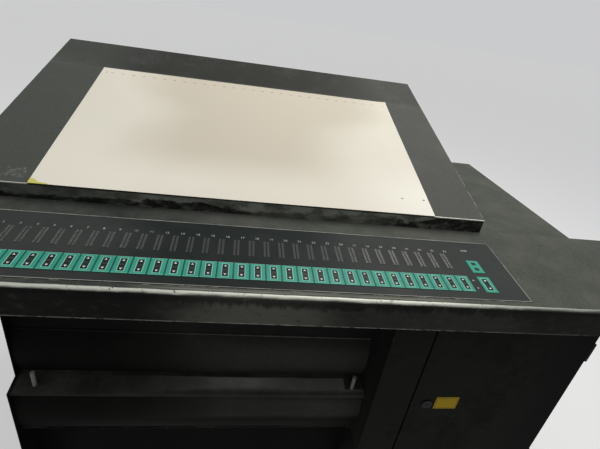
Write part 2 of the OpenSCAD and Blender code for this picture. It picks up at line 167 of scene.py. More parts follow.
def chain(tree, operation, values):
    result = values[0]
    for value in values[1:]:
        result = sums(tree, operation, result, value)
    return result


def product(tree, *values):
    return chain(tree, "MULTIPLY", values)


def total(tree, *values):
    return chain(tree, "ADD", values)


def strongest(tree, *masks):
    return chain(tree, "MAXIMUM", masks)


def away_from(tree, value, middle):
    """How far a value lies from a middle, to either side."""
    return sums(tree, "ABSOLUTE", sums(tree, "SUBTRACT", value, middle))


def blend(tree, share, a, b, kind="MIX"):
    made = node(tree, "ShaderNodeMix", data_type="RGBA", blend_type=kind, clamp_factor=True)
    plug(tree, share, made.inputs[0])
    plug(tree, a, made.inputs[6])
    plug(tree, b, made.inputs[7])
    return made.outputs[2]


def band(tree, value, low, high, out_low=0.0, out_high=1.0, smooth=True):
    """Maps low..high to out_low..out_high, held at the ends."""
    kind = "SMOOTHSTEP" if smooth else "LINEAR"
    made = node(tree, "ShaderNodeMapRange", interpolation_type=kind, clamp=True)
    for socket, number in zip(made.inputs, (value, low, high, out_low, out_high)):
        plug(tree, number, socket)
    return made.outputs[0]


def within(tree, value, start, full, fading, end):
    """A mask that rises from start to full and falls again from fading to end."""
    return product(tree, band(tree, value, start, full), band(tree, value, end, fading))


def noise(tree, where, scale, detail=4.0, roughness=0.55, lean=0.0):
    made = node(tree, "ShaderNodeTexNoise")
    plug(tree, where, made.inputs["Vector"])
    plug(tree, scale, made.inputs["Scale"])
    made.inputs["Detail"].default_value = detail
    made.inputs["Roughness"].default_value = roughness
    made.inputs["Distortion"].default_value = lean
    return made.outputs["Fac"]


def centred(tree, value, amount):
    """A noise moved to either side of zero and scaled."""
    return product(tree, sums(tree, "SUBTRACT", value, 0.5), amount)


def uneven(tree, where, scale, amount):
    """A small wandering offset, so that no edge of a stain is straight."""
    return centred(tree, noise(tree, where, scale, 5.0, 0.6), amount)


def object_place(tree):
    return node(tree, "ShaderNodeTexCoord").outputs["Object"]


def stretched(tree, where, scale, turn=(0, 0, 0)):
    made = node(tree, "ShaderNodeMapping")
    plug(tree, where, made.inputs["Vector"])
    made.inputs["Scale"].default_value = scale
    made.inputs["Rotation"].default_value = turn
    return made.outputs[0]


def axes(tree, vector):
    made = node(tree, "ShaderNodeSeparateXYZ")
    plug(tree, vector, made.inputs[0])
    return made.outputs


def facing(tree):
    """The surface's own direction, as X, Y and Z."""
    return axes(tree, node(tree, "ShaderNodeNewGeometry").outputs["True Normal"])


def effect(name, inputs, outputs, build):
    """A node group made once, with named inputs and outputs."""
    group = bpy.data.node_groups.new(name, "ShaderNodeTree")
    for label, kind, value in inputs:
        socket = group.interface.new_socket(label, in_out="INPUT", socket_type=kind)
        socket.default_value = value
    for label, kind in outputs:
        group.interface.new_socket(label, in_out="OUTPUT", socket_type=kind)
    entry = node(group, "NodeGroupInput")
    leave = node(group, "NodeGroupOutput")
    for label, socket in build(group, entry.outputs).items():
        group.links.new(socket, leave.inputs[label])
    return group


def use(tree, group, **values):
    made = node(tree, "ShaderNodeGroup", node_tree=group)
    for label, value in values.items():
        plug(tree, value, made.inputs[label.replace("_", " ")])
    return made.outputs


# Effects that several finishes share


def build_edge_wear(tree, given):
    """Bare patches along the sharp edges, broken up by noise."""
    rounded = node(tree, "ShaderNodeBevel", samples=6)
    tree.links.new(given["Reach"], rounded.inputs["Radius"])
    sharp = node(tree, "ShaderNodeNewGeometry").outputs["True Normal"]
    same = node(tree, "ShaderNodeVectorMath", operation="DOT_PRODUCT")
    tree.links.new(rounded.outputs[0], same.inputs[0])
    tree.links.new(sharp, same.inputs[1])
    turn = sums(tree, "SUBTRACT", 1.0, same.outputs["Value"])
    edge = band(tree, turn, 0.01, 0.16)
    breaks = noise(tree, object_place(tree), given["Patch scale"], 6.0, 0.65)
    kept = total(tree, breaks, given["Amount"])
    return {"Mask": product(tree, edge, band(tree, kept, 0.52, 0.66))}


def build_grime(tree, given):
    """Soft dirt in large clouds with small spots in them."""
    where = object_place(tree)
    clouds = noise(tree, where, given["Cloud scale"], 5.0, 0.6, 0.4)
    spots = noise(tree, where, given["Spot scale"], 3.0, 0.5)
    both = total(tree, product(tree, clouds, 0.75), product(tree, spots, 0.25))
    return {"Mask": band(tree, both, given["Low"], given["High"])}


def build_grain(tree, given):
    """The fine hammered skin of sprayed paint, as a height and a tone."""
    peel = noise(tree, object_place(tree), given["Grain scale"], 3.0, 0.6)
    return {"Height": peel, "Tone": total(tree, centred(tree, peel, given["Contrast"]), 1.0)}


def build_scratches(tree, given):
    """Thin strokes in two leaning directions."""
    where = object_place(tree)
    strokes = []
    for turn in (0.35, -0.9):
        leaning = stretched(tree, where, (14.0, 260.0, 60.0), (0.2, 0.1, turn))
        strokes.append(band(tree, noise(tree, leaning, 3.0, 2.0, 0.5), 0.70, 0.76))
    fade = band(tree, noise(tree, where, 5.0, 2.0), 0.45, 0.62)
    return {"Mask": product(tree, strongest(tree, *strokes), fade, given["Amount"])}


def build_dust(tree, given):
    """Dust that has settled on what faces up."""
    up = band(tree, facing(tree)["Z"], 0.55, 0.95)
    drifts = band(tree, noise(tree, object_place(tree), 9.0, 6.0, 0.7), 0.35, 0.75)
    return {"Mask": product(tree, up, drifts, given["Amount"])}


NUMBER = "NodeSocketFloat"
MASK_OUT = [("Mask", NUMBER)]
edge_wear = effect(
    "edge wear",
    [("Reach", NUMBER, 0.002), ("Patch scale", NUMBER, 60.0), ("Amount", NUMBER, 0.0)],
    MASK_OUT,
    build_edge_wear,
)
grime = effect(
    "grime",
    [
        ("Cloud scale", NUMBER, 4.0),
        ("Spot scale", NUMBER, 90.0),
        ("Low", NUMBER, 0.45),
        ("High", NUMBER, 0.7),
    ],
    MASK_OUT,
    build_grime,
)
grain = effect(
    "paint grain",
    [("Grain scale", NUMBER, 300.0), ("Contrast", NUMBER, 1.0)],
    [("Height", NUMBER), ("Tone", NUMBER)],
    build_grain,
)
scratches = effect("scratches", [("Amount", NUMBER, 1.0)], MASK_OUT, build_scratches)
dust = effect("settled dust", [("Amount", NUMBER, 0.5)], MASK_OUT, build_dust)

BARE_METAL = (0.50, 0.50, 0.46)
DUST_TONE = (0.24, 0.23, 0.20)
# The tone that painted shade darkens the base's pieces towards
PAINTED_SHADE_TONE = (0.0022, 0.0024, 0.0022)


class Finish:
    """One material: a Principled shader and the sockets that feed it."""

    def __init__(self, name, roughness=0.5, metallic=0.0, **plain):
        self.material = bpy.data.materials.new(name)
        self.material.use_nodes = True
        self.tree = self.material.node_tree
        self.shader = self.tree.nodes["Principled BSDF"]
        self.shader.inputs["Roughness"].default_value = roughness
        self.shader.inputs["Metallic"].default_value = metallic
        for label, value in plain.items():
            self.shader.inputs[label.replace("_", " ")].default_value = value

    def colour(self, value):
        plug(self.tree, value, self.shader.inputs["Base Color"])

    def rough(self, value):
        plug(self.tree, value, self.shader.inputs["Roughness"])

    def metal(self, value):
        plug(self.tree, value, self.shader.inputs["Metallic"])

    def bump(self, height, strength, distance):
        made = node(self.tree, "ShaderNodeBump")
        made.inputs["Strength"].default_value = strength
        made.inputs["Distance"].default_value = distance
        plug(self.tree, height, made.inputs["Height"])
        self.tree.links.new(made.outputs[0], self.shader.inputs["Normal"])

    def shade(self, light, dark, scale=3.0, low=0.35, high=0.68):
        """A ground colour that drifts slowly between two tones."""
        drift = noise(self.tree, object_place(self.tree), scale, 5.0, 0.6)
        return blend(self.tree, band(self.tree, drift, low, high), dark, light)


def grained(finish, ground, grain_scale, contrast=1.0):
    """Multiplies the paint's fine tone into its ground colour."""
    tree = finish.tree
    made = use(tree, grain, Grain_scale=grain_scale, Contrast=contrast)
    tone = node(tree, "ShaderNodeCombineColor")
    for socket in tone.inputs:
        tree.links.new(made["Tone"], socket)
    return blend(tree, 1.0, ground, tone.outputs[0], "MULTIPLY"), made["Height"]


def sheet_paint(name, light, dark, wear=0.0, dusty=0.4, dirt=0.6, shaded_by=None):
    """Sprayed sheet steel: drifting tone, grain, dirt, dust and bare edges.

    The darkening function, if given, says where it is darkened, from 0 to 1: mostly painted shade.
    """
    rough, rough_with_dirt = 0.6, 0.9
    finish = Finish(name, rough, Specular_IOR_Level=0.02)
    tree = finish.tree
    ground, height = grained(finish, finish.shade(light, dark), 420.0)
    # Painted shade darkens the ground where it is given
    if shaded_by:
        ground = blend(tree, shaded_by(tree, object_place(tree)), ground, PAINTED_SHADE_TONE)
    dirty = use(tree, grime, Cloud_scale=3.2, Spot_scale=60.0, Low=0.47, High=0.66)["Mask"]
    dirty = product(tree, dirty, dirt)
    settled = use(tree, dust, Amount=dusty)["Mask"]
    worn = use(tree, edge_wear, Reach=0.0022, Patch_scale=45.0, Amount=wear)["Mask"]
    ground = blend(tree, dirty, ground, tuple(channel * 0.35 for channel in dark))
    ground = blend(tree, settled, ground, DUST_TONE)
    finish.colour(blend(tree, worn, ground, BARE_METAL))
    finish.metal(product(tree, worn, 0.9))
    finish.rough(band(tree, total(tree, dirty, settled), 0.0, 1.0, rough, rough_with_dirt))
    finish.bump(height, 0.25, 0.0004)
    return finish.material


# Painted shade on the base's pieces, and other darker places


def ink_mist(tree, where):
    """Painted shade on the front of the bay, darkest on the operator's left."""
    x, y, _ = axes(tree, where)
    left = band(tree, total(tree, x, uneven(tree, where, 3.0, 0.20)), -0.06, -0.56, 0.0, 0.90)
    return product(tree, left, band(tree, y, -0.10, -0.26))


def under_lip(tree, where):
    """Painted shade on the front: a darkening all over it, deepest close under the desk, and a dark
    band low down by the feet.
    """
    _, y, z = axes(tree, where)
    front = band(tree, total(tree, y, uneven(tree, where, 4.0, 0.12)), -0.08, -0.27)
    close = band(tree, z, LIP_BOTTOM - 0.075, LIP_BOTTOM - 0.010, 0.62, 0.90)
    low = band(tree, z, LOWER_BOW_TOP - 0.12, LOWER_BOW_TOP - 0.19, 0.0, 0.88)
    bands = product(tree, strongest(tree, close, low), front)
    return strongest(tree, bands, ink_mist(tree, where))


def in_the_folds(tree, where):
    """Painted shade where the bowed covers turn in, above and below."""
    z = axes(tree, where)["Z"]
    upper = band(tree, z, BOW_LOW.z - 0.003, BOW_LOW.z - 0.001)
    top = band(tree, z, BOW_HIGH.z - 0.050, BOW_HIGH.z - 0.005, 0.0, 0.40)
    foot = band(tree, z, BOW_LOW.z + 0.060, BOW_LOW.z, 0.0, 0.35)
    on_upper = product(tree, strongest(tree, top, foot), upper)

    below = sums(tree, "SUBTRACT", 1.0, upper)
    edge = total(tree, z, uneven(tree, where, 9.0, 0.016))
    shaded = band(tree, edge, LOWER_BOW_TOP - 0.066, LOWER_BOW_TOP - 0.094, 0.0, 0.76)
    seam = band(tree, z, LOWER_BOW_TOP - 0.030, LOWER_BOW_TOP - 0.008, 0.0, 0.35)
    on_lower = product(tree, strongest(tree, shaded, seam), below)
    return strongest(tree, on_upper, on_lower, ink_mist(tree, where))


def on_ledge(tree, where):
    """Darker along the ledge's front and round its pegs, with a painted shadow along its back and
    painted shade at its right end, so that the pale strip between is painted light.
    """
    x, y, _ = axes(tree, where)
    across = total(tree, y, uneven(tree, where, 24.0, 0.006))
    front = band(tree, across, LEDGE_FRONT + 0.034, LEDGE_FRONT + 0.006, 0.0, 0.80)
    # A painted shadow under the upper bow, along the ledge's back
    back = band(tree, across, LEDGE_FRONT + 0.050, LEDGE_FRONT + 0.056, 0.0, 0.92)
    behind_edge = band(tree, across, LEDGE_FRONT + 0.016, LEDGE_FRONT + 0.022)
    # Painted shade at the right end, where the painted light stops
    right_end = band(tree, x, -0.16, 0.02, 0.0, 0.45)
    darkened = [front, back, right_end, ink_mist(tree, where)]
    for peg_x in (PEGS_LOW.x - 0.002, PEGS_HIGH.x + 0.002):
        round_peg = band(tree, away_from(tree, x, peg_x), 0.036, 0.026, 0.0, 0.92)
        darkened.append(product(tree, round_peg, behind_edge))
    return strongest(tree, *darkened)


def on_door(tree, where):
    """Painted shade high up under the desk, and darker towards the door's hinges."""
    x, _, z = axes(tree, where)
    height = total(tree, z, uneven(tree, where, 5.0, 0.10))
    high = band(tree, height, LIP_BOTTOM - 0.20, LIP_BOTTOM - 0.02, 0.0, 0.50)
    along = total(tree, x, uneven(tree, where, 5.0, 0.12))
    return strongest(tree, high, band(tree, along, 0.50, 0.76, 0.0, 0.70))


# Finishes


def towards_right(finish, light, dark, near=-0.8, far=0.5, wander=1.1):
    """A ground that gets paler to the operator's right: partly rubbed paint, partly painted light
    and sheen.
    """
    tree = finish.tree
    where = object_place(tree)
    along = total(tree, axes(tree, where)["X"], uneven(tree, where, 2.4, wander))
    return blend(tree, band(tree, along, near, far), dark, light)


def rub_deck(tree, where, flat_top, ground):
    """Rubbed patches and strokes on the deck, and the strip that sleeves have rubbed pale."""
    x, y, _ = axes(tree, where)
    rubbed = use(tree, grime, Cloud_scale=7.0, Spot_scale=160.0, Low=0.46, High=0.66)["Mask"]
    ground = blend(tree, product(tree, rubbed, 0.25), ground, (0.100, 0.106, 0.092))
    strokes = use(tree, scratches, Amount=0.5)["Mask"]
    ground = blend(tree, product(tree, strokes, flat_top), ground, (0.26, 0.27, 0.24))

    # The pale strip lies between the nose and the panel, in the desk's middle
    ahead = band(tree, y, LIP_Y + 0.021, LIP_Y + 0.010)
    streaks = noise(tree, stretched(tree, where, (7.0, 240.0, 240.0)), 1.0, 4.0, 0.6)
    streaks = band(tree, streaks, 0.36, 0.62, 0.35, 1.0)
    reach = within(tree, x, -0.42, -0.26, 0.14, 0.30)
    return blend(tree, product(tree, reach, ahead, streaks, flat_top), ground, (0.20, 0.21, 0.17))


def ink_lip(tree, where, forward, upright, ground):
    """The upright lip, dark towards both ends, with a ragged black band just under the nose."""
    x, _, z = axes(tree, where)
    clouds = noise(tree, stretched(tree, where, (5.0, 5.0, 9.0)), 1.0, 6.0, 0.6)
    along = total(tree, x, centred(tree, clouds, 0.30))
    near_middle = band(tree, away_from(tree, along, -0.17), 0.20, 0.05)
    tone = blend(tree, band(tree, along, 0.48, 0.36), (0.014, 0.015, 0.012), (0.037, 0.040, 0.033))
    tone = blend(tree, near_middle, tone, (0.120, 0.122, 0.104))
    tone = blend(tree, band(tree, along, -0.30, -0.42), tone, (0.011, 0.012, 0.010))
    mottle = noise(tree, stretched(tree, where, (40.0, 40.0, 70.0)), 1.0, 5.0, 0.65)
    tone = blend(tree, band(tree, mottle, 0.50, 0.80, 0.0, 0.35), tone, (0.090, 0.094, 0.078))
    tone = blend(tree, band(tree, mottle, 0.48, 0.25, 0.0, 0.5), tone, (0.010, 0.011, 0.009))
    ground = blend(tree, upright, ground, tone)

    drips = noise(tree, stretched(tree, where, (34.0, 34.0, 13.0)), 1.0, 7.0, 0.66)
    hang = band(tree, z, LIP_TOP - 0.034, LIP_TOP - 0.013, 0.0, 0.30, smooth=False)
    under_nose = band(tree, forward, 0.80, 0.93)
    darkened = product(tree, band(tree, total(tree, drips, hang), 0.56, 0.78), under_nose, 0.75)
    return blend(tree, darkened, ground, (0.007, 0.008, 0.007))


def bare_places(tree, where, up, forward, upright):
    """Where the desk's paint is gone: the nose, the corners and the lip's lower edge; the nose's
    pale band is partly a painted highlight.
    """
    x, _, z = axes(tree, where)
    wobble = noise(tree, stretched(tree, where, (1.0, 2.0, 2.0)), 22.0, 6.0, 0.62)
    slow = noise(tree, stretched(tree, where, (1.0, 0.2, 0.2)), 3.3, 2.0)
    shift = total(tree, centred(tree, wobble, 0.42), centred(tree, slow, 0.35))
    thinner_right = product(tree, band(tree, x, 0.10, 0.50), -0.14)
    low_limit = band(tree, total(tree, up, shift, thinner_right), 0.46, 0.78)
    high_limit = band(tree, total(tree, up, centred(tree, wobble, 0.10)), 0.952, 0.878)
    front = band(tree, forward, 0.05, 0.2)
    pits = band(tree, noise(tree, where, 150.0, 5.0, 0.7), 0.66, 0.60)
    nose = product(tree, low_limit, high_limit, front, pits)

    corners = use(tree, edge_wear, Reach=0.0022, Patch_scale=38.0, Amount=0.02)["Mask"]
    low_edge = band(tree, z, LIP_BOTTOM + 0.0030, LIP_BOTTOM + 0.0012)
    broken = band(tree, noise(tree, where, 46.0, 5.0, 0.7), 0.36, 0.52)
    return strongest(tree, nose, corners, product(tree, low_edge, broken, upright, 0.30))


def desk_paint():
    """The desk bar: grained grey-green, stained lip, nose rubbed down to steel with a painted
    highlight on it.
    """
    finish = Finish("desk paint", 0.6, Specular_IOR_Level=0.04)
    tree = finish.tree
    where = object_place(tree)
    _, back, up = facing(tree)
    forward = product(tree, back, -1.0)
    upright = band(tree, forward, 0.75, 0.95)
    ground = towards_right(finish, (0.059, 0.064, 0.055), (0.030, 0.034, 0.031), -0.52, -0.10, 0.5)
    ground, height = grained(finish, ground, 380.0, 1.9)
    ground = rub_deck(tree, where, band(tree, up, 0.97, 0.99), ground)
    ground = ink_lip(tree, where, forward, upright, ground)
    bare = bare_places(tree, where, up, forward, upright)
    # The nose's pale steel is partly a painted highlight, duller on the right
    right = band(tree, axes(tree, where)["X"], 0.10, 0.50)
    steel_and_highlight = blend(tree, right, (0.60, 0.615, 0.54), (0.32, 0.35, 0.31))
    ground = blend(tree, bare, ground, steel_and_highlight)
    settled = use(tree, dust, Amount=0.14)["Mask"]
    finish.colour(blend(tree, settled, ground, DUST_TONE))
    finish.metal(product(tree, bare, 0.45))
    finish.rough(band(tree, bare, 0.0, 1.0, 0.55, 0.48))
    finish.bump(sums(tree, "SUBTRACT", height, product(tree, bare, 0.8)), 0.35, 0.0005)
    return finish.material


def table_paint():
    """The slanted face: matt slate grey, rubbed, with fine strokes."""
    finish = Finish("table slate", 0.65, Specular_IOR_Level=0.1)
    tree = finish.tree
    where = object_place(tree)
    x, y, _ = axes(tree, where)
    ground = towards_right(finish, (0.070, 0.071, 0.064), (0.062, 0.068, 0.060))
    ground, height = grained(finish, ground, 400.0, 1.5)

    # A painted shadow darkens the strip behind the sheet, most of all left of the middle
    behind = band(tree, y, TABLE_LOW.y + 0.585, TABLE_LOW.y + 0.605)
    aside = away_from(tree, total(tree, x, uneven(tree, where, 4.0, 0.25)), -0.22)
    back_shadow = product(tree, behind, band(tree, aside, 0.58, 0.22, 0.28, 0.92))
    ground = blend(tree, back_shadow, ground, (0.020, 0.020, 0.0175))

    rubbed = use(tree, grime, Cloud_scale=5.0, Spot_scale=140.0, Low=0.48, High=0.7)["Mask"]
    ground = blend(tree, product(tree, rubbed, 0.2), ground, (0.13, 0.135, 0.12))
    strokes = use(tree, scratches, Amount=0.35)["Mask"]
    ground = blend(tree, strokes, ground, (0.26, 0.27, 0.25))

    # Pale scuffs left of the sheet, close to the front edge
    beside = within(tree, sums(tree, "SUBTRACT", x, SHEET_LOW.x), -0.066, -0.052, -0.018, -0.008)
    ahead = within(tree, sums(tree, "SUBTRACT", y, TABLE_LOW.y), 0.014, 0.020, 0.046, 0.058)
    flaked = band(tree, noise(tree, where, 150.0, 5.0, 0.7), 0.46, 0.62, 0.0, 0.75)
    ground = blend(tree, product(tree, beside, ahead, flaked), ground, (0.155, 0.160, 0.145))

    worn = use(tree, edge_wear, Reach=0.0018, Patch_scale=30.0, Amount=0.1)["Mask"]
    finish.colour(blend(tree, worn, ground, BARE_METAL))
    finish.metal(product(tree, worn, 0.8))
    finish.rough(band(tree, rubbed, 0.0, 1.0, 0.62, 0.50))
    finish.bump(height, 0.25, 0.0004)
    return finish.material


def rail_paint():
    """The step under the face: patchy grey, its lower part black with dried ink."""
    finish = Finish("rail black", 0.5, Specular_IOR_Level=0.06)
    tree = finish.tree
    where = object_place(tree)
    x, y, z = axes(tree, where)
    clouds = noise(tree, stretched(tree, where, (14.0, 14.0, 30.0)), 1.4, 7.0, 0.66)
    dull, rubbed = (0.110, 0.116, 0.098), (0.270, 0.276, 0.236)
    ground = blend(tree, band(tree, clouds, 0.38, 0.62), dull, rubbed)
    ground = blend(tree, band(tree, x, -0.38, -0.60, 0.0, 0.6), ground, (0.034, 0.040, 0.036))

    # Only the front is patchy: the rails behind it are an even dark grey
    even = blend(tree, band(tree, clouds, 0.35, 0.65), (0.046, 0.049, 0.043), (0.062, 0.066, 0.058))
    ground = blend(tree, band(tree, y, TABLE_LOW.y + 0.045, TABLE_LOW.y + 0.065), ground, even)

    # The ink's upper edge is ragged, and higher on the right
    ragged = noise(tree, stretched(tree, where, (9.0, 9.0, 26.0)), 1.0, 8.0, 0.66)
    right = band(tree, total(tree, x, uneven(tree, where, 12.0, 0.08)), 0.20, 0.30, 0.0, -0.020)
    level = total(tree, z, centred(tree, ragged, 0.075), right)
    patches = noise(tree, stretched(tree, where, (30.0, 30.0, 60.0)), 1.0, 5.0, 0.65)
    patches = band(tree, patches, 0.36, 0.56, 0.55, 1.0)
    outward = band(tree, away_from(tree, x, 0.0), 0.08, 0.22, 0.45, 0.95)
    below_edge = band(tree, level, STEP_MIDDLE - 0.004, STEP_MIDDLE - 0.009)
    splash = product(tree, below_edge, patches, outward)
    ground = blend(tree, splash, ground, (0.010, 0.012, 0.010))

    flecks = noise(tree, where, 120.0, 4.0, 0.6)
    ground = blend(tree, band(tree, flecks, 0.68, 0.74), ground, (0.14, 0.14, 0.12))
    worn = use(tree, edge_wear, Reach=0.0016, Patch_scale=50.0, Amount=-0.02)["Mask"]
    finish.colour(blend(tree, worn, ground, BARE_METAL))
    finish.metal(product(tree, worn, 0.8))
    finish.rough(band(tree, splash, 0.0, 1.0, 0.55, 0.34))
    finish.bump(ragged, 0.4, 0.0010)
    return finish.material


def panel_film():
    """The membrane: satin charcoal film with faint handling marks."""
    finish = Finish("panel film", 0.55, Specular_IOR_Level=0.08)
    tree = finish.tree
    where = object_place(tree)
    ground = finish.shade((0.034, 0.038, 0.0355), (0.026, 0.030, 0.028), 6.0)

    # A painted dark reflection darkens the film's middle; both ends keep the paler ground
    drift = centred(tree, noise(tree, where, 7.0, 4.0), 0.25)
    outward = total(tree, away_from(tree, axes(tree, where)["X"], -0.22), drift)
    ground = blend(tree, band(tree, outward, 0.32, 0.10), ground, (0.0095, 0.0135, 0.0125))

    smears = use(tree, grime, Cloud_scale=11.0, Spot_scale=220.0, Low=0.5, High=0.7)["Mask"]
    ground = blend(tree, product(tree, smears, 0.22), ground, (0.052, 0.056, 0.051))
    strokes = use(tree, scratches, Amount=0.25)["Mask"]
    finish.colour(blend(tree, strokes, ground, (0.13, 0.135, 0.125)))
    finish.rough(band(tree, smears, 0.0, 1.0, 0.46, 0.62))
    finish.bump(noise(tree, where, 1400.0, 2.0), 0.08, 0.0002)
    return finish.material


def printed(name, tone, dirt_tone, rough=0.42, amount=0.55):
    """A printed colour on the membrane, dulled in places by handling."""
    finish = Finish(name, rough, Specular_IOR_Level=0.2)
    tree = finish.tree
    smears = use(tree, grime, Cloud_scale=16.0, Spot_scale=300.0, Low=0.45, High=0.72)["Mask"]
    finish.colour(blend(tree, product(tree, smears, amount), tone, dirt_tone))
    finish.rough(band(tree, smears, 0.0, 1.0, rough, rough + 0.18))
    finish.bump(noise(tree, object_place(tree), 1200.0, 2.0), 0.08, 0.0002)
    return finish.material


def lamp_rows():
    """The backing of the lamp rows: dull grey print, fading out at both ends."""
    finish = Finish("lamp rows", 0.5, Specular_IOR_Level=0.2)
    tree = finish.tree
    where = object_place(tree)
    near = LIP_Y + BAR_FRONT * math.cos(DECK_SLOPE)
    far = LIP_Y + BAR_BACK * math.cos(DECK_SLOPE)
    inside = within(tree, axes(tree, where)["Y"], near, near + 0.004, far - 0.004, far)
    worn = band(tree, noise(tree, where, 14.0, 4.0, 0.6), 0.35, 0.65, 0.55, 1.0)
    shown = product(tree, inside, worn)
    finish.colour(blend(tree, shown, (0.030, 0.032, 0.030), (0.052, 0.052, 0.049)))
    finish.rough(band(tree, worn, 0.55, 1.0, 0.6, 0.45))
    return finish.material


def lamp_dots():
    """The lamps: dull grey, palest on the operator's right, darkened in the middle by a painted
    dark reflection.
    """
    finish = Finish("lamp grey", 0.42, Specular_IOR_Level=0.2)
    tree = finish.tree
    where = object_place(tree)
    x = axes(tree, where)["X"]
    speckled = band(tree, noise(tree, where, 260.0, 3.0, 0.6), 0.40, 0.60)
    dull = blend(tree, speckled, (0.052, 0.056, 0.053), (0.125, 0.130, 0.122))
    bright = blend(tree, speckled, (0.105, 0.104, 0.098), (0.225, 0.220, 0.207))
    middle_reflection = band(tree, away_from(tree, x, -0.20), 0.30, 0.10, 0.0, 0.8)
    ground = blend(tree, middle_reflection, dull, (0.030, 0.032, 0.034))
    finish.colour(blend(tree, band(tree, x, -0.02, 0.16), ground, bright))
    return finish.material


def paper():
    """Uncoated sheet: warm white, faint fibre and a slow unevenness."""
    finish = Finish("sheet paper", 0.85, Specular_IOR_Level=0.25)
    tree = finish.tree
    where = object_place(tree)
    x, y, _ = axes(tree, where)
    deep = sums(tree, "SUBTRACT", y, TABLE_LOW.y)
    ground = finish.shade((0.735, 0.705, 0.615), (0.69, 0.655, 0.565), 1.3, 0.40, 0.60)
    ground = blend(tree, band(tree, deep, 0.06, 0.30, 0.0, 0.5), ground, (0.645, 0.620, 0.535))

    # A painted shadow darkens its middle, in a patch that is wider towards the back
    middle = band(tree, deep, 0.22, 0.50, 0.22, 0.14)
    aside = sums(tree, "ABSOLUTE", total(tree, x, middle, uneven(tree, where, 3.0, 0.12)))
    widened = band(tree, deep, 0.34, 0.50, 0.0, 0.13)
    inward = band(tree, sums(tree, "SUBTRACT", aside, widened), 0.38, 0.12)
    shadowed_middle = product(tree, inward, band(tree, deep, 0.04, 0.20), 0.92)
    ground = blend(tree, shadowed_middle, ground, (0.535, 0.485, 0.395))

    # Its near right corner is painted paler, as painted light
    corner = product(tree, band(tree, x, 0.0, 0.30), band(tree, deep, 0.22, 0.05), 0.9)
    ground = blend(tree, corner, ground, (0.80, 0.78, 0.70))

    fibre = noise(tree, where, 700.0, 4.0, 0.7)
    ground = blend(tree, band(tree, fibre, 0.35, 0.65, 0.0, 0.10), ground, (0.55, 0.51, 0.43))
    handled = use(tree, grime, Cloud_scale=8.0, Spot_scale=90.0, Low=0.60, High=0.78)["Mask"]
    finish.colour(blend(tree, product(tree, handled, 0.18), ground, (0.42, 0.40, 0.34)))
    finish.bump(fibre, 0.15, 0.0002)
    return finish.material


def brush(finish, smooth, coarse):
    """Fine lines along the desk, in the roughness and as a bump."""
    tree = finish.tree
    lines = noise(tree, stretched(tree, object_place(tree), (6.0, 300.0, 300.0)), 4.0, 3.0)
    finish.rough(band(tree, lines, 0.3, 0.7, smooth, coarse))
    finish.bump(lines, 0.12, 0.0002)


def steel(finish, tone, dirt_tone, dirt):
    """A steel's tone with dirt in it."""
    tree = finish.tree
    dirty = use(tree, grime, Cloud_scale=14.0, Spot_scale=200.0, Low=0.42, High=0.7)["Mask"]
    return blend(tree, product(tree, dirty, dirt), tone, dirt_tone)


def lock_metal():
    """Dull dark steel of the lock, the hinges and the screws."""
    finish = Finish("lock metal", 0.55, 1.0)
    finish.colour(steel(finish, (0.022, 0.022, 0.021), (0.0055, 0.0055, 0.00525), 0.6))
    brush(finish, 0.47, 0.67)
    return finish.material


def trim_steel():
    """Worn bare steel; the table's front edge is painted black where the sheet lies over it, a
    painted shadow under the sheet's edge.
    """
    finish = Finish("bare steel", 0.45, 0.35)
    tree = finish.tree
    x, _, z = axes(tree, object_place(tree))
    ground = steel(finish, (0.66, 0.67, 0.62), (0.22, 0.225, 0.20), 0.25)
    low, high, soft = SHEET_LOW.x, SHEET_HIGH.x, 0.004
    under_sheet = within(tree, x, low - soft, low + soft, high - soft, high + soft)
    # The feet share this steel and stay clean
    sheet_shadow = product(tree, under_sheet, band(tree, z, 0.5, 0.6), 0.96)
    finish.colour(blend(tree, sheet_shadow, ground, (0.018, 0.018, 0.012)))
    brush(finish, 0.38, 0.55)
    return finish.material


materials = {
    "desk_paint": desk_paint(),
    "base_paint": sheet_paint(
        "base paint", (0.064, 0.068, 0.060), (0.042, 0.045, 0.040),
        wear=-0.08, dirt=0.45, shaded_by=under_lip,
    ),
    "panel_film": panel_film(),
    "key_seams": printed("key seams", (0.0015, 0.068, 0.048), (0.002, 0.045, 0.033)),
    "key_mint": printed("key mint", (0.026, 0.275, 0.195), (0.010, 0.160, 0.115)),
    "key_windows": printed("key windows", (0.007, 0.008, 0.008), (0.018, 0.018, 0.017), 0.35),
    "bar_frames": lamp_rows(),
    "table_steel": table_paint(),
    "bare_steel": trim_steel(),
    "rail_paint": rail_paint(),
    "bow_paint": sheet_paint(
        "bow paint", (0.060, 0.064, 0.054), (0.046, 0.049, 0.042),
        wear=-0.12, dirt=0.2, shaded_by=in_the_folds,
    ),
    "ledge_paint": sheet_paint(
        "ledge paint", (0.34, 0.345, 0.31), (0.20, 0.205, 0.185),
        wear=-0.3, dusty=0.15, dirt=0.3, shaded_by=on_ledge,
    ),
    "peg_plastic": printed("peg plastic", (0.27, 0.275, 0.255), (0.14, 0.135, 0.12), 0.45),
    # The door's paint is set far darker than the base paint, which paints the shade under the desk
    # into its colour
    "door_paint": sheet_paint(
        "door paint", (0.022, 0.0235, 0.0205), (0.017, 0.018, 0.016),
        wear=-0.10, dirt=0.45, shaded_by=on_door,
    ),
    "lock_metal": lock_metal(),
    "sill_paint": sheet_paint("sill paint", (0.014, 0.014, 0.014), (0.008, 0.008, 0.008)),
    "sheet_paper": paper(),
}

for row in frame["record"]["subparts"]:
    part = nodes[row["node"]]
    part.data.materials.clear()
    part.data.materials.append(materials[row["material_slot"]])

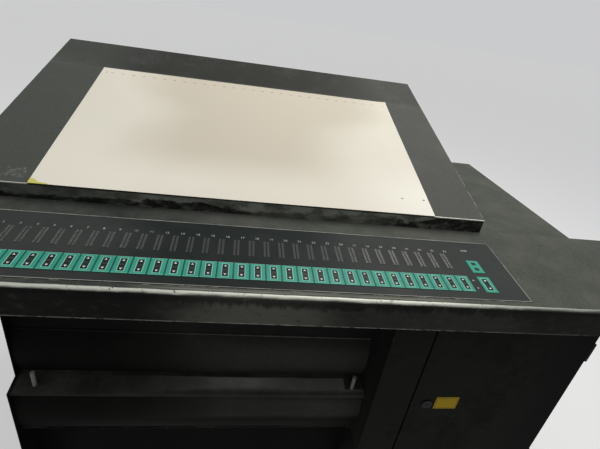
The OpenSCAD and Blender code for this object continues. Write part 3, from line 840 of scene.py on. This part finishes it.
# Finishes of the pieces made here
white_mark = printed("white mark", (0.66, 0.68, 0.64), (0.30, 0.31, 0.29), 0.5)
faint_mark = printed("faint mark", (0.42, 0.42, 0.40), (0.11, 0.115, 0.11), 0.55, 0.8)
trim_grey = sheet_paint(
    "trim grey", (0.17, 0.175, 0.15), (0.10, 0.104, 0.09), wear=-0.2, dusty=0.1, shaded_by=ink_mist
)
key_line = printed("key line", (0.20, 0.50, 0.40), (0.09, 0.36, 0.28), 0.45)
centre_grey = printed("centre grey", (0.024, 0.023, 0.022), (0.015, 0.015, 0.014), 0.35)
panel_line = printed("panel line", (0.26, 0.26, 0.245), (0.07, 0.073, 0.07), 0.55, 0.9)
lamp_grey = lamp_dots()
tab_yellow = printed("tab yellow", (0.56, 0.53, 0.13), (0.64, 0.60, 0.36), 0.6, 0.8)
plate_yellow = printed("plate yellow", (0.50, 0.335, 0.002), (0.30, 0.20, 0.004), 0.6)
plate_black = printed("plate black", (0.02, 0.02, 0.02), (0.05, 0.05, 0.045), 0.4)
crop_black = printed("crop black", (0.05, 0.05, 0.055), (0.12, 0.12, 0.12), 0.7)


# Mesh helpers

FRONT = Matrix.Rotation(math.pi / 2, 4, "X")


def on_front(y):
    """A frame whose X is the desk's X and whose Y is up, on an upright face at that Y."""
    return Matrix.Translation((0, y, 0)) @ FRONT


def on_back(y):
    return Matrix.Translation((0, y, 0)) @ Matrix.Rotation(math.pi, 4, "Z") @ FRONT


def on_side(x, sign):
    return Matrix.Translation((x, 0, 0)) @ Matrix.Rotation(sign * math.pi / 2, 4, "Z") @ FRONT


def add_mesh(name, bm, finish):
    mesh = bpy.data.meshes.new(name)
    bm.to_mesh(mesh)
    bm.free()
    mesh.materials.append(finish)
    return put_in_scene(name, mesh)


def add_piece(name, bm, finish, body="console"):
    """Turns a bmesh in the console's frame into a piece that rides on a body."""
    bmesh.ops.recalc_face_normals(bm, faces=bm.faces)
    made = add_mesh(name, bm, finish)
    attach(made, body)
    return made


def add_plate(bm, place, x, y, width, length, low, high, corner=0.0):
    """A flat plate on a sloped face: middle x, y and heights low to high over it."""
    box = Matrix.Diagonal((width, length, high - low, 1.0))
    middle = Matrix.Translation((x, y, (low + high) / 2))
    made = bmesh.ops.create_cube(bm, size=1.0, matrix=place @ middle @ box)
    if corner:
        normal = (place.to_3x3() @ Vector((0, 0, 1))).normalized()
        edges = {e for v in made["verts"] for e in v.link_edges}
        upright = [
            e for e in edges if abs((e.verts[0].co - e.verts[1].co).normalized().dot(normal)) > 0.9
        ]
        bmesh.ops.bevel(
            bm, geom=upright, offset=corner, segments=3, profile=0.5, affect="EDGES", material=-1
        )


def add_disc(bm, place, x, y, radius, low, high, segments=16, turn=0.0, top=1.0):
    """A round or many-sided stud standing on a face."""
    middle = Matrix.Translation((x, y, (low + high) / 2)) @ Matrix.Rotation(turn, 4, "Z")
    bmesh.ops.create_cone(
        bm, cap_ends=True, segments=segments, radius1=radius, radius2=radius * top,
        depth=high - low, matrix=place @ middle,
    )


def add_frame(bm, place, x, y, width, length, line, low, high):
    """Four thin strips round a rectangle, its outside at width by length."""
    for side in (-1, 1):
        add_plate(bm, place, x + side * (width - line) / 2, y, line, length, low, high)
        add_plate(bm, place, x, y + side * (length - line) / 2, width - 2 * line, line, low, high)


def add_figure(bm, place, text, x, y, height, low, high):
    """Plain figures standing on a face."""
    curve = bpy.data.curves.new("figure", "FONT")
    curve.body = text
    curve.size = height * 1.4
    curve.align_x, curve.align_y = "CENTER", "CENTER"
    curve.resolution_u = 2
    curve.extrude = (high - low) / 2
    holder = put_in_scene("figure", curve)
    bpy.context.view_layer.update()
    shown = holder.evaluated_get(bpy.context.evaluated_depsgraph_get())
    mesh = bpy.data.meshes.new_from_object(shown)
    mesh.transform(place @ Matrix.Translation((x, y, (low + high) / 2)))
    bm.from_mesh(mesh)
    bpy.data.meshes.remove(mesh)
    bpy.data.objects.remove(holder)
    bpy.data.curves.remove(curve)


# Marks on the key panel

MARK_TOP = PANEL_PROUD + 0.00015


def key_marks():
    """White arrows, up on the far press points and down on the near, and the sweep key's dots."""
    arrow, dot, thick = 0.0032, 0.0023, 0.0002
    bm = bmesh.new()
    for x in key_places():
        for y, turn in press_points():
            add_disc(bm, DECK, x, y, arrow, BUTTON_TOP, BUTTON_TOP + thick, 3, turn)
    for y, _ in press_points():
        add_disc(bm, DECK, SWEEP_X, y, dot, BUTTON_TOP - 2 * thick, BUTTON_TOP - thick)
    add_piece("key_marks", bm, white_mark)


def key_centres():
    """The dull grey figure between the two press points."""
    bm = bmesh.new()
    width, length, corner = 0.0080, 0.0064, 0.0008
    low, high = BUTTON_TOP - 0.0005, BUTTON_TOP - 0.0001
    for x in key_places():
        add_plate(bm, DECK, x, KEY_MIDDLE, width, length, low, high, corner)
    add_piece("key_centres", bm, centre_grey)


def key_outlines():
    """A pale line round each window and along each key's front and back."""
    bm = bmesh.new()
    low, high = CELL_TOP, CELL_TOP + 0.00012
    key_width, edge = ZONE_PITCH - 0.0022, CELL_LENGTH / 2 - 0.0007
    for x in key_places():
        add_frame(bm, DECK, x, KEY_MIDDLE, 0.0152, 0.0402, 0.0016, low, high)
        for y in (KEY_MIDDLE - edge, KEY_MIDDLE + edge):
            add_plate(bm, DECK, x, y, key_width, 0.0010, low, high)
    drop = 0.0004
    add_frame(bm, DECK, SWEEP_X, KEY_MIDDLE, 0.0166, 0.0416, 0.0014, low - drop, high - drop)
    add_piece("key_outlines", bm, key_line)


def cell_seams():
    """The dark seam between two keys."""
    bm = bmesh.new()
    width, low, high = 0.0032, CELL_TOP - 0.0002, CELL_TOP + 0.00010
    for x in key_places()[:-1]:
        add_plate(bm, DECK, x + ZONE_PITCH / 2, KEY_MIDDLE, width, CELL_LENGTH, low, high)
    add_piece("cell_seams", bm, materials["key_seams"])


def bar_lamps():
    """The small lamps in the two rows of each bar display."""
    lamps, pitch = 18, 0.0030
    width, length = LAMP_ROW + 0.0008, 0.0019
    first = (BAR_FRONT + BAR_BACK) / 2 - (lamps - 1) * pitch / 2
    top = PANEL_PROUD + LAMP_ROW_HEIGHT + 0.0003
    bm = bmesh.new()
    for x in key_places():
        for side in (-1, 1):
            row_x = x - BAR_SHIFT + side * (BAR_WIDTH - LAMP_ROW) / 2
            for i in range(lamps):
                add_plate(bm, DECK, row_x, first + i * pitch, width, length, PANEL_PROUD, top)
    add_piece("bar_lamps", bm, lamp_grey)


def zone_figures():
    """The zone numbers behind the bar displays, two arrows by the last key, two small frames."""
    figures_y, figure_height, frames_y = 0.1855, 0.0066, 0.1935
    arrow_x, arrow, arrow_top = LAST_KEY + 0.0258, 0.0030, PANEL_PROUD + 0.0002
    bm = bmesh.new()
    for number, x in enumerate(key_places(), 1):
        add_figure(
            bm, DECK, str(number), x - 0.0010, figures_y, figure_height, PANEL_PROUD, MARK_TOP
        )
    for y, turn in press_points():
        add_disc(bm, DECK, arrow_x, y, arrow, PANEL_PROUD, arrow_top, 3, turn)
    for x in (SWEEP_X - 0.0052, SWEEP_X + 0.0032):
        add_frame(bm, DECK, x, frames_y, 0.0070, 0.0050, 0.0014, PANEL_PROUD, MARK_TOP)
    add_piece("zone_figures", bm, faint_mark)


def panel_outline():
    """The pale rim of the membrane."""
    low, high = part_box("ink_panel")
    x, y = (low.x + high.x) / 2, PANEL_FRONT + PANEL_LENGTH / 2
    rim = 0.0016
    bm = bmesh.new()
    add_frame(bm, DECK, x, y, high.x - low.x, PANEL_LENGTH, rim, PANEL_PROUD, MARK_TOP)
    add_piece("panel_outline", bm, panel_line)


# The printed sheet


def sheet_rise(x, y):
    """How far the sheet stands off the table at a place on it."""
    lift, wave, curl = 0.0011, 0.0006, 0.0022
    curl_width, curl_length = 0.05, 0.06
    slow = wave * math.sin(7.1 * x + 1.3 * y) * math.sin(9.3 * y + 0.8)
    right = max(0.0, x - (SHEET_HIGH.x - curl_width)) / curl_width
    back = max(0.0, y - (SHEET_FRONT + SHEET_LENGTH - curl_length)) / curl_length
    return lift + slow + curl * right**2 * back**2


def press_sheet():
    """One thin sheet with a slight wave, over the stack it lies on."""
    bm = bmesh.new()
    flat = Matrix.Translation(((SHEET_LOW.x + SHEET_HIGH.x) / 2, SHEET_FRONT + SHEET_LENGTH / 2, 0))
    size = Matrix.Diagonal((SHEET_WIDTH / 2, SHEET_LENGTH / 2, 1, 1))
    bmesh.ops.create_grid(bm, x_segments=64, y_segments=42, size=1.0, matrix=flat @ size)
    for vertex in bm.verts:
        vertex.co.z = sheet_rise(vertex.co.x, vertex.co.y)
    bmesh.ops.transform(bm, matrix=TABLE, verts=bm.verts)
    sheet = add_piece("press_sheet_paper", bm, materials["sheet_paper"])
    thick = sheet.modifiers.new("thickness", "SOLIDIFY")
    thick.thickness = 0.0003
    thick.offset = -1
    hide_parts("press_sheet")
    return sheet


def sheet_marks():
    """Crop and zone ticks printed on the sheet."""
    bm = bmesh.new()

    def tick(x, y, width, length):
        rise = sheet_rise(x, y)
        add_plate(bm, TABLE, x, y, width, length, rise + 0.00002, rise + 0.00014)

    thin, thick, cross, bar = 0.0012, 0.0016, 0.008, 0.010
    ticks, back, near = 28, SHEET_FRONT + SHEET_LENGTH - 0.032, 0.060
    for i in range(ticks):
        tick(SHEET_LOW.x + 0.034 + i * ZONE_PITCH, back, bar, thick)
    for inset in (0.014, 0.075):
        tick(SHEET_HIGH.x - inset, near, thin, cross)
        tick(SHEET_HIGH.x - inset, near, cross, thin)
    for x in (SHEET_LOW.x + 0.016, SHEET_HIGH.x - 0.016):
        tick(x, back, thin, bar)
    add_piece("sheet_marks", bm, crop_black)


def corner_tab():
    """The yellow tab stuck under the sheet's near left corner."""
    bm = bmesh.new()
    outline = [(0, 0), (0.044, 0), (0.040, 0.003), (0.020, 0.006), (0.011, 0.015), (0, 0.018)]
    lift, thick = 0.0003, 0.0002
    verts = []
    for right, back in outline:
        x, y = SHEET_LOW.x + right, SHEET_FRONT + back
        verts.append(bm.verts.new((x, y, sheet_rise(x, y) + lift)))
    raised = bmesh.ops.extrude_face_region(bm, geom=[bm.faces.new(verts)])
    top = [item for item in raised["geom"] if isinstance(item, bmesh.types.BMVert)]
    bmesh.ops.translate(bm, verts=top, vec=(0, 0, thick))
    bmesh.ops.transform(bm, matrix=TABLE, verts=bm.verts)
    add_piece("corner_tab", bm, tab_yellow)


# Strips, plates, screws and nuts


def fascia_trim():
    """A folded bead under the fascia, where the upper bowed panel starts."""
    low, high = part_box("bay_fascia")
    thick = 0.003
    bm = bmesh.new()
    place, middle = on_front(low.y), (low.x + high.x) / 2
    add_plate(bm, place, middle, low.z + thick / 2, high.x - low.x, thick, 0.0, thick)
    add_piece("fascia_trim", bm, trim_grey)


def corner_strip():
    """The folded strip that closes the housing's rear corner on the operator's right."""
    bm = bmesh.new()
    back_low, back_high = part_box("upper_back")
    cheek_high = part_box("right_cheek")[1]
    size = Vector((cheek_high.x - back_high.x, back_high.y - back_low.y, cheek_high.z - back_low.z))
    middle = Vector((back_high.x, back_low.y, back_low.z)) + size / 2
    place = Matrix.Translation(middle) @ Matrix.Diagonal((*size, 1.0))
    bmesh.ops.create_cube(bm, size=1.0, matrix=place)
    add_piece("corner_strip", bm, materials["base_paint"])


def door_plate():
    """A bare yellow plate by the lock, with a dark rim and no words."""
    place = on_front(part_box("cabinet_door")[0].y)
    x, z = 0.3997, 0.4707
    width, height, thick = 0.068, 0.046, 0.0010
    bm = bmesh.new()
    add_plate(bm, place, x, z, width, height, 0.0, thick, 0.002)
    add_piece("door_plate", bm, plate_yellow, "door")
    bm = bmesh.new()
    inset, line = 0.006, 0.0010
    add_frame(bm, place, x, z, width - inset, height - inset, line, thick, thick + 0.0002)
    add_piece("door_plate_rim", bm, plate_black, "door")


def add_screw(bm, place, x, y, radius=0.005, height=0.0022):
    """A low domed head with a six-sided socket."""
    shoulder = height * 0.55
    add_disc(bm, place, x, y, radius, 0.0, shoulder, 20)
    add_disc(bm, place, x, y, radius, shoulder, height, 20, 0.0, 0.68)
    add_disc(bm, place, x, y, radius * 0.42, height, height + 0.0002, 6)


def panel_screws():
    """Screw heads round the back panel, on the sides and on the hinge leaves."""
    bm = bmesh.new()
    low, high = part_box("back_panel")
    inset, margin = 0.022, 0.03
    low_row, high_row = low.z + inset + margin, high.z - inset
    for x in spread(low.x + inset, high.x - inset, 7):
        for z in (low_row, high_row):
            add_screw(bm, on_back(high.y), -x, z)
    for z in spread(low_row, high_row, 5)[1:-1]:
        for x in (low.x + inset, high.x - inset):
            add_screw(bm, on_back(high.y), -x, z)
    low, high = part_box("upper_back")
    for x in spread(low.x + inset, high.x - inset, 6):
        add_screw(bm, on_back(high.y), -x, high.z - inset)
    behind_recess, under_desk = 0.16, 0.80
    for name, sign in (("left_side", -1), ("right_side", 1)):
        low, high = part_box(name)
        face = on_side(low.x if sign < 0 else high.x, sign)
        for y in (low.y + behind_recess, (low.y + high.y) / 2, high.y - margin):
            for z in (low.z + margin, under_desk):
                add_screw(bm, face, sign * y, z)
    low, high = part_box("hinge_leaves")
    leaf_thickness, leaf_height = 0.0025, 0.060
    for z in (low.z, high.z - leaf_height):
        for y in (high.y - 0.008, high.y - 0.022):
            for up in (0.007, 0.023):
                add_screw(bm, on_side(low.x + leaf_thickness, 1), y, z + up, 0.0028, 0.0012)
    add_piece("panel_screws", bm, materials["lock_metal"])


def foot_nuts():
    """A locking nut on each levelling foot."""
    bm = bmesh.new()
    low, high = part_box("feet")
    foot_radius, nut_radius, nut_low, nut_high = 0.025, 0.014, 0.0125, 0.0195
    for name in ("left_sill", "middle_sill", "right_sill"):
        sill_low, sill_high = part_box(name)
        x = (sill_low.x + sill_high.x) / 2
        for y in (low.y + foot_radius, high.y - foot_radius):
            add_disc(bm, Matrix.Identity(4), x, y, nut_radius, nut_low, nut_high, 6)
    add_piece("foot_nuts", bm, materials["bare_steel"])


# Studio


def seen_directly(tree, lighting, shown):
    """One strength for rays that light the console, another for rays that show the backdrop."""
    path = node(tree, "ShaderNodeLightPath").outputs
    rays = [path[f"Is {kind} Ray"] for kind in ("Camera", "Glossy", "Transmission")]
    return band(tree, strongest(tree, *rays), 0.0, 1.0, lighting, shown, smooth=False)


def add_lamp(name, place, aim, power, tone):
    data = bpy.data.lights.new(name, "AREA")
    data.shape = "RECTANGLE"
    data.size, data.size_y = 2.6, 1.8
    data.energy = power
    data.color = tone
    made = put_in_scene(name, data)
    made.location = place
    made.rotation_mode = "QUATERNION"
    made.rotation_quaternion = (Vector(aim) - Vector(place)).to_track_quat("-Z", "Y")


def studio():
    """A wide pale floor under a pale surround, and soft light."""
    floor_shown, surround_shown = 0.44, 0.605
    bm = bmesh.new()
    bmesh.ops.create_circle(bm, cap_ends=True, segments=96, radius=60.0)
    pale = Finish("studio pale", 0.95, Specular_IOR_Level=0.1)
    pale.colour((0.40, 0.40, 0.40))
    pale.shader.inputs["Emission Color"].default_value = (1.0, 1.0, 1.0, 1.0)
    emission = seen_directly(pale.tree, 0.0, floor_shown)
    plug(pale.tree, emission, pale.shader.inputs["Emission Strength"])
    add_mesh("studio_floor", bm, pale.material)

    world = bpy.data.worlds.new("studio")
    bpy.context.scene.world = world
    world.use_nodes = True
    tree = world.node_tree
    sky = tree.nodes["Background"]
    sky.inputs["Color"].default_value = (0.98, 0.99, 1.0, 1.0)
    height = axes(tree, node(tree, "ShaderNodeTexCoord").outputs["Generated"])["Z"]
    from_above = band(tree, height, -0.1, 0.9, 0.10, 0.45)
    plug(tree, seen_directly(tree, from_above, surround_shown), sky.inputs["Strength"])

    add_lamp("overhead", (0.9, 0.5, 3.6), (0.0, 0.1, 0.9), 84, (1.0, 0.98, 0.95))
    add_lamp("front", (-1.2, -3.4, 2.6), (0.0, 0.0, 0.7), 5, (0.96, 0.98, 1.0))


set_camera()
key_marks()
key_centres()
key_outlines()
cell_seams()
bar_lamps()
zone_figures()
panel_outline()
paper_sheet = press_sheet()
sheet_marks()
corner_tab()
fascia_trim()
corner_strip()
door_plate()
panel_screws()
foot_nuts()
studio()
bpy.context.scene.view_settings.view_transform = "Standard"
